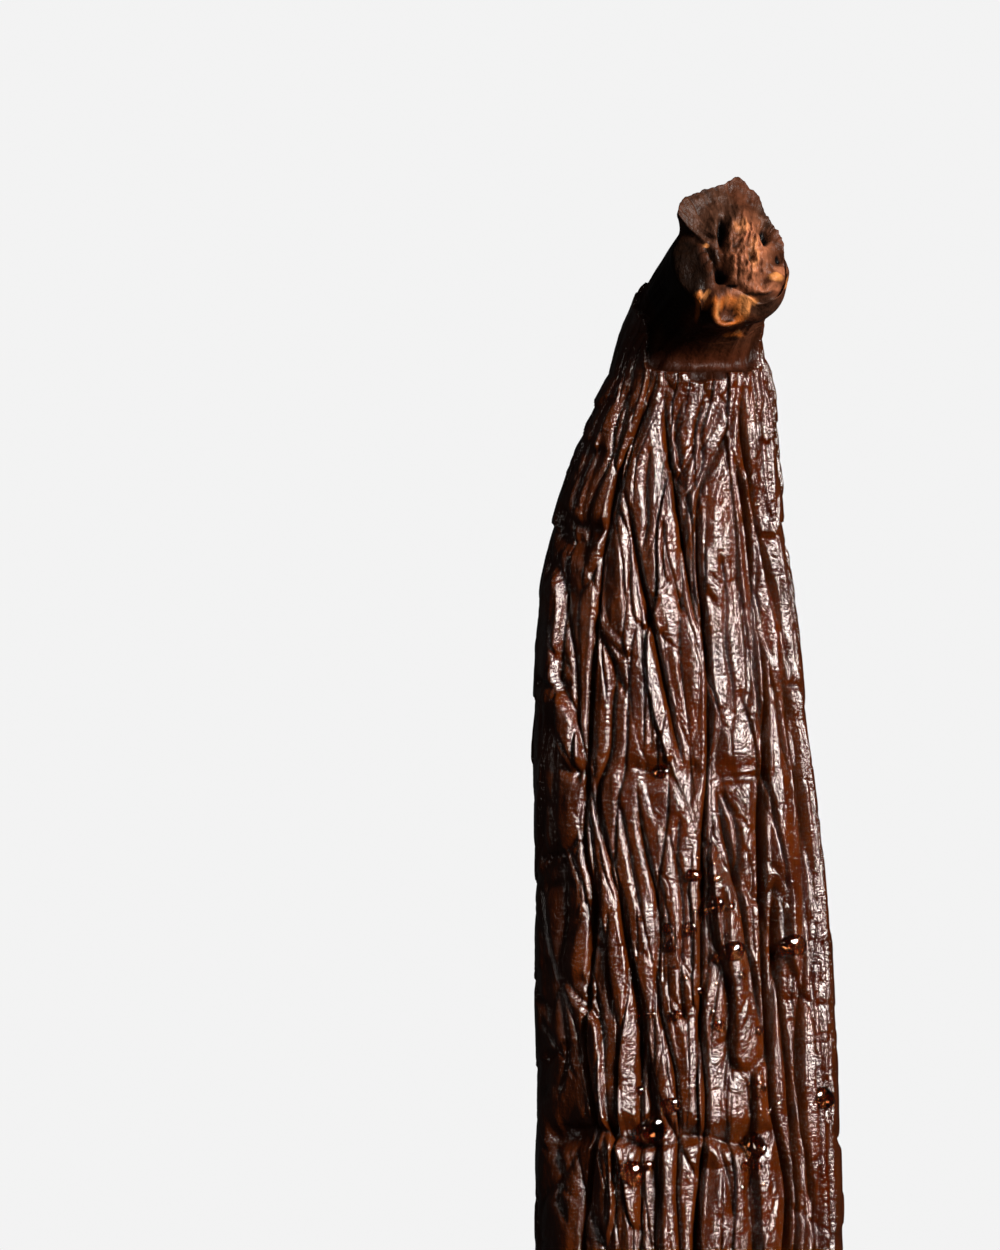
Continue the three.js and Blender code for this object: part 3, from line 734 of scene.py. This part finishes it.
def collar_edge(angle):
    return -COLLAR_FLAP * np.maximum(smooth(-angle, *LEFT_FLAP), smooth(angle, *RIGHT_FLAP))


def skin_share(station, angle, fine):
    """1 where the skin covers the pod, 0 on the neck."""
    edge = collar_edge(angle)
    if not fine:
        return smooth(station - edge, -COLLAR_STEP, COLLAR_STEP)
    for height, number, phase in COLLAR_WAVES:
        edge = edge + height * np.sin(number * angle + phase)
    return smooth(station - edge, -FINE_COLLAR_STEP, FINE_COLLAR_STEP)


def radius_at(outline, angle):
    return height_at(outline, np.degrees(turn(angle)))


def rim_radius(angle, fine):
    radius = radius_at(FACE_EDGE, angle)
    if not fine:
        return radius
    torn = smooth(np.abs(turn(angle)), *TORN_RIM)
    round_it = np.degrees(angle) % 360
    spread = FLAP_SPREAD
    for at, wide, depth in FLAP_TEARS:
        spread = spread - depth * bell((round_it - at) / wide)
    for narrow, share, lane in RIM_WAVES:
        ragged = flat_noise(narrow * np.sin(angle), narrow * np.cos(angle), lane)
        spread = spread + RIM_RAGGED * share * ragged
    return radius + torn * spread


def neck_radii(share, angle, fine):
    slim = smooth(share, 0, WAIST_SHARE)
    flare = smooth(share, *FLARE)
    lip = radius_at(LIP, angle)
    if fine:
        at, wide, rise = BOSS
        lip = lip + rise * bell((np.degrees(turn(angle)) - at) / wide)
    top = mix(lip, rim_radius(angle, fine), smooth(share, FLARE[1], 1))
    side = mix(NECK_SIDE_RADIUS, WAIST_SIDE_RADIUS, slim)
    front = mix(NECK_FRONT_RADIUS, WAIST_FRONT_RADIUS, slim)
    side, front = mix(side, top, flare), mix(front, top, flare)
    if not fine:
        return side, front
    under_skin = np.maximum(0, 1 - share / NECK_SPREAD) ** 2
    collar_side = half_width(0) - SKIN_THICKNESS
    collar_front = half_thickness(0) - SKIN_THICKNESS
    return mix(side, collar_side, under_skin), mix(front, collar_front, under_skin)


def skin_points(station, angle, deep, fine):
    """Points of the neck and the body. station is a column of rows, angle has all the columns of each
    row, and deep is how far the skin lies below its smooth form there."""
    middle, along, side, up = (v[:, 0, None] for v in frame_at(station))
    neck_side, neck_front = neck_radii(np.clip(-station / NECK_LENGTH, 0, 1), angle, fine)
    skin = skin_share(station, angle, fine)
    on_neck = station < 0
    skin_side = np.maximum(half_width(station), on_neck * (neck_side + SKIN_ON_NECK))
    skin_front = np.maximum(half_thickness(station), on_neck * (neck_front + SKIN_ON_NECK))
    across = mix(neck_side, skin_side, skin)
    high = mix(neck_front, skin_front, skin)
    inward = skin * deep
    if fine:
        inward = inward + (1 - skin) * neck_depth(station, angle)
    outward = np.stack([np.sin(angle) / across, np.cos(angle) / high], axis=-1)
    outward /= np.linalg.norm(outward, axis=-1, keepdims=True)
    sideways = across * np.sin(angle) - inward * outward[..., 0]
    upwards = high * np.cos(angle) - inward * outward[..., 1]
    points = middle + sideways[..., None] * side + upwards[..., None] * up
    points[..., 2] = np.maximum(points[..., 2], 0)
    return points


def neck_depth(station, angle):
    """The woody neck's long fibres and dents."""
    ridges = skin_noise(station, angle, 0.75, 5, 24)
    fibres = skin_noise(station, angle, 0.5, 2.6, 20) + 0.5 * skin_noise(station, angle, 0.22, 1.1, 21)
    height = NECK_RIDGE_HEIGHT * ridges + NECK_FIBRE_HEIGHT * fibres
    return height * smooth(station, *NECK_FIBRES_END)


def face_points(share, angle, fine):
    """Points of the knob's broken face: a fibrous core, and a crevice between it and the lip."""
    middle, along, side, up = frame_at(np.array([-NECK_LENGTH], float))
    radius = rim_radius(angle, fine) * share
    lower = smooth(np.cos(angle), *CREVICE_SIDE)
    rise = PLUG_RISE * (1 - smooth(share, *PLUG_EDGE))
    rise = rise - CREVICE_DEPTH * lower * smooth(share, CREVICE_REACH, 1)
    x = radius * np.sin(angle)
    y = -radius * np.cos(angle)
    return middle + x[..., None] * side - y[..., None] * up - rise[..., None] * along


def knob_grain(x, y):
    """How near the core is, and the grain, from about -1 to 1: fibres, rays of the flap, and lumps."""
    core_x, core_y, wide, high = CORE
    core = bell(((x - core_x) / wide) ** 2 + ((y - core_y) / high) ** 2)
    fibres = flat_noise(x / 0.12 + 0.8 * flat_noise(x, y, 0), y / 0.55, 4.5)
    fibres += 0.6 * flat_noise(x / 0.08, y / 0.2, 9.5)
    round_it = np.arctan2(y - RAYS_MIDDLE[1], x - RAYS_MIDDLE[0])
    rays = flat_noise(round_it * 16, np.hypot(x, y) / 0.9, 2.5)
    rays += 0.6 * flat_noise(round_it * 34, y / 0.5, 0)
    lumps = flat_noise(x / 0.3, y / 0.3, 6.5) + 0.5 * flat_noise(x / 0.13, y / 0.13, 8.5)
    return core, fibres, rays * smooth(y, *RAYS_END), lumps


def knob_relief(x, y):
    """How far the knob stands out at x and y from its middle, seen from above."""
    rise = 0
    for at_x, at_y, wide, high, height in KNOB_RELIEF:
        rise = rise + height * bell((x - at_x) / wide) * bell((y - at_y) / high)
    core, fibres, rays, lumps = knob_grain(x, y)
    return rise + core * (0.13 * fibres + 0.13 * lumps) + (1 - core) * (0.05 * rays + 0.045 * lumps)


def row_stations():
    neck = np.arange(-NECK_LENGTH + FINE_STEP, COLLAR_ROWS[0], FINE_STEP)
    collar = np.arange(*COLLAR_ROWS, COLLAR_ROW_STEP)
    fine = np.arange(COLLAR_ROWS[1], FINE_END, FINE_STEP)
    coarse = np.arange(FINE_END, BODY_LENGTH - TIP_DOME, COARSE_STEP)
    tip = BODY_LENGTH - TIP_DOME + TIP_DOME * np.sin(np.arange(TIP_ROWS) / TIP_ROWS * math.pi / 2)
    return np.concatenate([neck, collar, fine, coarse, tip])


def column_angles(count, crowding):
    round_it = (np.arange(count) / count * 2 - 1) * math.pi
    return round_it - crowding * np.sin(round_it)


def joined(*parts):
    return np.concatenate([part.reshape(-1, 3) for part in parts])


def solid_middle():
    """The middle of the solid's outline seen from above, where its frame has its origin."""
    share = np.arange(SOLID_ROWS)[:, None] / SOLID_ROWS
    station = share**SOLID_ROW_POWER * (BODY_LENGTH - TIP_DOME)
    angle = np.broadcast_to(column_angles(SOLID_COLUMNS, SOLID_CROWDING), (SOLID_ROWS, SOLID_COLUMNS))
    deep = furrow_depths(station, angle, angle, fine=False)[0]
    body = skin_points(station, angle, np.maximum(deep, fold_depth(station, angle)), fine=False)
    rim = face_points(np.ones((1, 1)), angle[:1], fine=False)
    points = joined(body, rim, body_middle(np.array([BODY_LENGTH])))
    return (points.min(0) + points.max(0)) / 2


low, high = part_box("pod")
box_middle = np.array([(low[axis] + high[axis]) / 2 / MM for axis in range(2)])
ORIGIN = np.array([*(box_middle - solid_middle()[:2]), 0])


def from_pixel(pixel_x, pixel_y):
    """The place of a pixel of the photograph, on the plane at CAMERA_LEVEL."""
    x = (pixel_x - COLLAR_PIXEL[0]) * MM_PER_PIXEL
    y = (COLLAR_PIXEL[1] - pixel_y) * MM_PER_PIXEL
    return np.array([x, y, 0]) + ORIGIN


def add_object(name, data):
    item = bpy.data.objects.new(name, data)
    bpy.context.scene.collection.objects.link(item)
    return item


def add_mesh(name, points, faces, material):
    """An object of points in millimetres. faces is a list of arrays, each with one number of sides."""
    mesh = bpy.data.meshes.new(name)
    mesh.from_pydata((points * MM).tolist(), [], [face for part in faces for face in part.tolist()])
    mesh.shade_smooth()
    mesh.materials.append(material)
    return add_object(name, mesh)


def ring_faces(rows, columns):
    """Quads that join rings of points, each with that many columns, and the triangles at both ends."""
    i = np.arange(columns)
    following = (i + 1) % columns
    row = np.arange(rows - 1)[:, None] * columns
    quads = np.stack([row + i, row + columns + i, row + columns + following, row + following], axis=-1)
    start, end = rows * columns, rows * columns + 1
    last = (rows - 1) * columns
    first_fan = np.stack([np.full(columns, start), i, following], axis=-1)
    last_fan = np.stack([np.full(columns, end), last + following, last + i], axis=-1)
    return quads.reshape(-1, 4), first_fan, last_fan


class Nodes:
    """Adds nodes to a material and links them by name."""

    def __init__(self, name):
        self.material = bpy.data.materials.new(name)
        self.material.use_nodes = True
        self.tree = self.material.node_tree
        self.shader = self.tree.nodes["Principled BSDF"]

    def add(self, kind, inputs=None, **settings):
        node = self.tree.nodes.new(kind)
        for key, value in settings.items():
            setattr(node, key, value)
        for key, value in (inputs or {}).items():
            self.put(node.inputs[key], value)
        return node

    def put(self, socket, value):
        if isinstance(value, bpy.types.NodeSocket):
            self.tree.links.new(value, socket)
        else:
            socket.default_value = value

    def noise(self, vector, scale, detail=3, roughness=0.55):
        inputs = {"Vector": vector, "Scale": scale, "Detail": detail, "Roughness": roughness}
        return self.add("ShaderNodeTexNoise", inputs).outputs["Fac"]

    def range(self, value, low, high, start, end):
        inputs = {"Value": value, 1: low, 2: high, 3: start, 4: end}
        return self.add("ShaderNodeMapRange", inputs).outputs[0]

    def blend(self, share, a, b):
        inputs = {0: share, 6: a, 7: b}
        return self.add("ShaderNodeMix", inputs, data_type="RGBA").outputs[2]

    def attribute(self, name, output="Fac"):
        return self.add("ShaderNodeAttribute", attribute_name=name).outputs[output]

    def scaled_place(self, x=1, y=1, z=1):
        place = self.add("ShaderNodeTexCoord").outputs["Object"]
        return self.add("ShaderNodeMapping", {"Vector": place, "Scale": (x, y, z)}).outputs[0]

    def bumps(self, *layers):
        """The normal with bumps of each height and distance, one over another."""
        inputs = {"Strength": 1}
        for height, distance in layers:
            inputs |= {"Height": height, "Distance": distance}
            inputs["Normal"] = self.add("ShaderNodeBump", inputs).outputs[0]
        return inputs["Normal"]

    def finish(self, values):
        """The material, with these inputs of its shader."""
        for name, value in values.items():
            self.put(self.shader.inputs[name], value)
        return self.material


def skin_material():
    """Dark, oily skin, whose grain runs along the pod and whose striae run across it, with painted shade
    from the crease attribute.
    """
    nodes = Nodes("pod_skin")
    place = nodes.scaled_place()
    grain = nodes.noise(nodes.scaled_place(*GRAIN_SCALE), 6500, 4, 0.65)
    striae = nodes.noise(nodes.scaled_place(*STRIAE_SCALE), 5200, 3, 0.6)
    pores = nodes.noise(place, 13000, 2, 0.6)
    skin = nodes.blend(nodes.range(nodes.noise(place, 900), 0.35, 0.65, 0, 1), *SKIN_COLOURS)
    return nodes.finish({
        # painted shade: the crease attribute darkens creases, the sides and underside, and the line
        # under the skin's edge
        "Base Color": nodes.blend(nodes.attribute("crease"), skin, SKIN_PAINTED_SHADE_COLOUR),
        "Roughness": nodes.range(grain, 0.3, 0.7, 0.08, 0.16),
        "Specular IOR Level": 0.6,
        "Normal": nodes.bumps((pores, 0.000022), (grain, 0.00004), (striae, 0.00003)),
    })


def wood_material():
    """The neck's and the knob's dull wood, with the knob's colours, which hold painted shade and
    highlights, and painted shade at the neck's base.
    """
    nodes = Nodes("stem_wood")
    stretched = nodes.scaled_place(*GRAIN_SCALE)
    fibre = nodes.noise(stretched, 3600, 4, 0.65)
    stem = nodes.blend(nodes.range(fibre, 0.35, 0.65, 0, 1), *STEM_COLOURS)
    mottle = nodes.range(nodes.noise(nodes.scaled_place(), 5200), 0.3, 0.7, 0.3, 0.6)
    tone = nodes.attribute("tone", "Color")
    shade = nodes.add("ShaderNodeVectorMath", {0: tone}, operation="SCALE")
    nodes.put(shade.inputs["Scale"], mottle)
    colour = nodes.blend(nodes.attribute("knob"), stem, shade.outputs[0])
    return nodes.finish({
        # painted shade at the neck's base and under the skin's edge, from the crease attribute
        "Base Color": nodes.blend(nodes.attribute("crease"), colour, STEM_PAINTED_SHADE_COLOUR),
        "Roughness": nodes.range(fibre, 0.3, 0.7, 0.28, 0.5),
        "Specular IOR Level": 0.06,
        "Normal": nodes.bumps((nodes.noise(stretched, 6500, 4, 0.65), 0.00005)),
    })


def oil_material():
    return Nodes("oil").finish({
        "Base Color": OIL_COLOUR,
        "Roughness": 0.03,
        "IOR": 1.46,
        "Transmission Weight": 1.0,
    })


def knob_colours(x, y):
    colours = np.tile(WOOD, (len(x), 1))
    wobble_x = x + PATCH_STRAY * flat_noise(x / 0.25, y / 0.25, 3.5)
    wobble_y = y + PATCH_STRAY * flat_noise(x / 0.25, y / 0.25, 7.5)
    for colour, at_x, at_y, wide, high in KNOB_PATCHES:
        away = np.hypot((wobble_x - at_x) / wide, (wobble_y - at_y) / high)
        share = 1 - smooth(away, 1 - PATCH_EDGE, 1 + PATCH_EDGE)
        colours = mix(colours, np.array(colour), share[:, None])
    core, fibres, rays, lumps = knob_grain(x, y)
    grain = 1 + core * (0.6 * fibres + 0.7 * lumps) + (1 - core) * (0.5 * rays + 0.2 * lumps)
    return colours * np.clip(grain, 0.1, 2)[:, None]


def painted_shade_at(station, angle, dark, skin):
    """How much painted shade each point gets: in creases and at the sides, in a line under the skin's
    edge, and at the neck's base.
    """
    middle, width = UNDER_COLLAR_PAINTED_SHADE
    painted_shade_under_collar = bell((skin - middle) / width) * (skin > 0.001)
    painted_neck_base_shade = (1 - skin) * smooth(station - collar_edge(angle), -NECK_BASE_LENGTH, 0)
    return np.maximum(dark * skin, np.maximum(painted_shade_under_collar, NECK_BASE_SHADE * painted_neck_base_shade))


def make_pod():
    columns = column_angles(COLUMNS, TOP_CROWDING)
    share = np.arange(1, FACE_ROWS + 1)[:, None] / FACE_ROWS
    face = face_points(share, np.broadcast_to(columns, (FACE_ROWS, COLUMNS)), fine=True)
    station = row_stations()[:, None]
    angle = np.broadcast_to(columns, (len(station), COLUMNS))
    deep, dark = skin_relief(station, angle)
    body = skin_points(station, angle, deep, fine=True)
    face_middle = face_points(np.zeros((1, 1)), np.zeros((1, 1)), fine=True)
    points = joined(face, body, face_middle, body_middle(np.array([BODY_LENGTH])))
    skin = skin_share(station, angle, fine=True)
    on_face = np.ones(FACE_ROWS * COLUMNS)
    # crease holds the painted shade of creases, sides, the skin's edge and the neck's base
    crease = np.concatenate([0 * on_face, painted_shade_at(station, angle, dark, skin).ravel(), [0, 0]])
    neck = np.concatenate([on_face, (1 - skin).ravel(), [1, 0]])
    x, y, z = (points - KNOB).T
    knob = neck * smooth(y, *KNOB_END)
    facing = smooth(z, *KNOB_UPPER)
    points += (knob * facing * knob_relief(x, y))[:, None] * KNOB_DIRECTION
    colours = mix(np.array(WOOD), knob_colours(x, y), facing[:, None])
    rows = FACE_ROWS + len(station)
    faces = ring_faces(rows, COLUMNS)
    piece = add_mesh("vanilla_pod", points + ORIGIN, faces, skin_material())
    piece.data.materials.append(wood_material())
    is_wood = np.concatenate([neck[part[:, 0]] > 0.5 for part in faces])
    piece.data.polygons.foreach_set("material_index", is_wood.astype(np.int32))
    add_value(piece, "crease", np.clip(crease, 0, 1))
    add_value(piece, "knob", knob)
    tone = piece.data.color_attributes.new("tone", "FLOAT_COLOR", "POINT")
    opaque = np.column_stack([colours, np.ones(len(x))])
    tone.data.foreach_set("color", opaque.astype(np.float32).ravel())
    add_strip_map(piece, rows, np.concatenate([part.ravel() for part in faces]))
    return piece


def add_value(piece, name, values):
    attribute = piece.data.attributes.new(name, "FLOAT", "POINT")
    attribute.data.foreach_set("value", values.astype(np.float32))


def add_strip_map(piece, rows, corner):
    """A UV map of the whole surface: angle across the square, rows up it. corner has the vertex at
    each corner of the faces."""
    row, column = corner // COLUMNS, corner % COLUMNS
    u = column / COLUMNS
    v = (row + 1) / (rows + 1)
    starts = np.arange(0, (rows - 1) * COLUMNS * 4, 4)
    for offset in range(4):
        at = starts + offset
        over = (u[starts] > 0.9) & (u[at] < 0.1)
        u[at[over]] = 1
    fans = np.arange(len(starts) * 4, len(corner))
    ends = np.where(corner[fans] == rows * COLUMNS, 0, 1)
    v[fans] = np.where(row[fans] >= rows, ends, v[fans])
    layer = piece.data.uv_layers.new(name="OFBake")
    layer.data.foreach_set("uv", np.stack([u, v], axis=-1).astype(np.float32).ravel())


def drop_places():
    """Pixel and radius in pixels of each drop."""
    places = list(DROP_PIXELS)
    for middle_x, middle_y, wide, high, number in DROP_CLUSTERS:
        for spread_x, spread_y, share in random.random((number, 3)):
            pixel_x = middle_x + wide * (2 * spread_x - 1)
            pixel_y = middle_y + high * (2 * spread_y - 1)
            places.append((pixel_x, pixel_y, mix(*FINE_DROP_PIXELS, share)))
    return places


def drop_points(radius, phases):
    """A flat, uneven drop that lies on the ground plane."""
    points = []
    for ring in range(DROP_RINGS + 1):
        tilt = math.pi * ring / DROP_RINGS
        for i in range(DROP_SIDES):
            round_it = TURN * i / DROP_SIDES
            uneven = 1
            for number, (wave, phase) in enumerate(zip(DROP_WAVES, phases), 2):
                uneven += wave * math.sin(number * round_it + phase)
            out = radius * math.sin(tilt) * uneven
            height = radius * (DROP_HEIGHT * math.cos(tilt) - DROP_SINK)
            x = out * math.cos(round_it)
            points.append(Vector((x, out * math.sin(round_it) * DROP_LENGTH, height)))
    return points


def triples(items, name):
    values = np.empty(len(items) * 3, np.float32)
    items.foreach_get(name, values)
    return values.reshape(-1, 3)


def make_drops(pod):
    places = triples(pod.data.vertices, "co") / MM
    normals = triples(pod.data.vertex_normals, "vector")
    upper = np.flatnonzero(normals[:, 2] > DROP_GROUND)
    points = []
    quads = []
    for pixel_x, pixel_y, size in drop_places():
        spot = from_pixel(pixel_x, pixel_y)
        away = np.hypot(places[upper, 0] - spot[0], places[upper, 1] - spot[1])
        near = upper[away < size * MM_PER_PIXEL * DROP_REACH]
        if len(near) == 0:
            near = upper[[np.argmin(away)]]
        normal = Vector(normals[near].mean(0)).normalized()
        centre = Vector((spot[0], spot[1], np.quantile(places[near, 2], DROP_LEVEL)))
        turn_to = normal.to_track_quat("Z", "Y").to_matrix()
        quads.append(ring_faces(DROP_RINGS + 1, DROP_SIDES)[0] + len(points))
        for point in drop_points(size * MM_PER_PIXEL, (size, pixel_x)):
            points.append(tuple(centre + turn_to @ point))
    return add_mesh("oil_drops", np.array(points), [np.concatenate(quads)], oil_material())


def make_floor():
    points = FLOOR_HALF * np.array([[-1, -1, 0], [1, -1, 0], [1, 1, 0], [-1, 1, 0]])
    material = Nodes("floor").finish({
        "Base Color": (0, 0, 0, 1),
        "Roughness": 0.9,
        "Specular IOR Level": 0,
        "Emission Color": WHITE,
        "Emission Strength": FLOOR_BRIGHTNESS,
    })
    floor = add_mesh("floor", points, [np.array([[0, 1, 2, 3]])], material)
    floor.visible_glossy = False
    floor.visible_diffuse = False


def make_camera():
    camera = add_object("camera", bpy.data.cameras.new("camera"))
    bpy.context.scene.camera = camera
    middle = from_pixel(FRAME_PIXELS[0] / 2, FRAME_PIXELS[1] / 2)
    camera.location = (middle[0] * MM, middle[1] * MM, (CAMERA_LEVEL + CAMERA_DISTANCE) * MM)
    camera.data.sensor_fit = "VERTICAL"
    camera.data.sensor_height = SENSOR_HEIGHT
    camera.data.lens = SENSOR_HEIGHT * CAMERA_DISTANCE / (FRAME_PIXELS[1] * MM_PER_PIXEL)
    camera.data.clip_start = CLIP_START


def make_lights():
    aim = Vector(from_pixel(*AIM_PIXEL)) * MM
    for name, away, size, energy in LIGHTS:
        light = add_object(name, bpy.data.lights.new(name, "AREA"))
        light.data.shape = "RECTANGLE"
        light.data.size, light.data.size_y = size
        light.data.energy = energy
        light.data.color = LIGHT_COLOUR
        light.location = aim + Vector(away)
        light.rotation_euler = (-Vector(away)).to_track_quat("-Z", "Y").to_euler()
    world = bpy.data.worlds.new("world")
    bpy.context.scene.world = world
    world.use_nodes = True
    background = world.node_tree.nodes["Background"]
    background.inputs[0].default_value = WHITE
    background.inputs[1].default_value = WORLD_BRIGHTNESS


bpy.context.scene.view_settings.view_transform = "Standard"
pod = make_pod()
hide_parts("pod")
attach(pod, "root")
drops = make_drops(pod)
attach(drops, "root")
make_floor()
make_camera()
make_lights()
